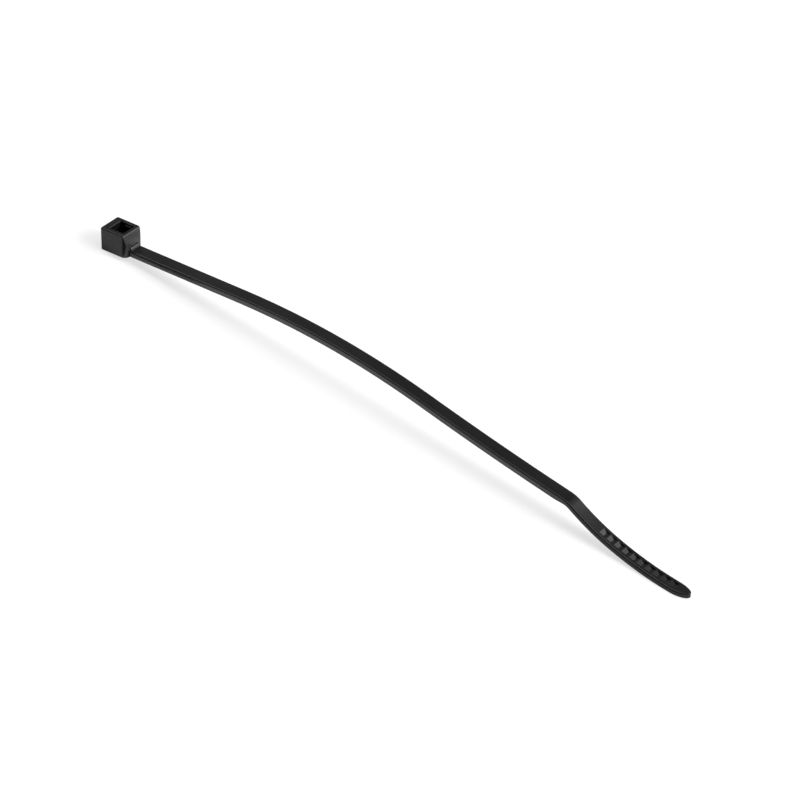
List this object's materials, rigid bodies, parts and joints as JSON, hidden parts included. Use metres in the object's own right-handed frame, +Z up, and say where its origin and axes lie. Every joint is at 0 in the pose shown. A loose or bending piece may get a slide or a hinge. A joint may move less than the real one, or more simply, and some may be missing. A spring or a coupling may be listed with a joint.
{
  "type": "cable tie",
  "caption": "Self-locking plastic cable tie lying open: square slotted head with an inner latch, flat toothed strap, bent gripped tail with a rounded tip.",
  "frame": {"origin": "on the floor, halfway between the back of the head and the tip, in the middle of the strap's width", "axes": "+X from the head to the tip, +Y across the strap, +Z up"},
  "size_m": [0.1202, 0.0044, 0.0079],
  "materials": {
    "nylon": "satin"
  },
  "bodies": {
    "root": {"cable_tie": "nylon"}
  },
  "joints": []
}
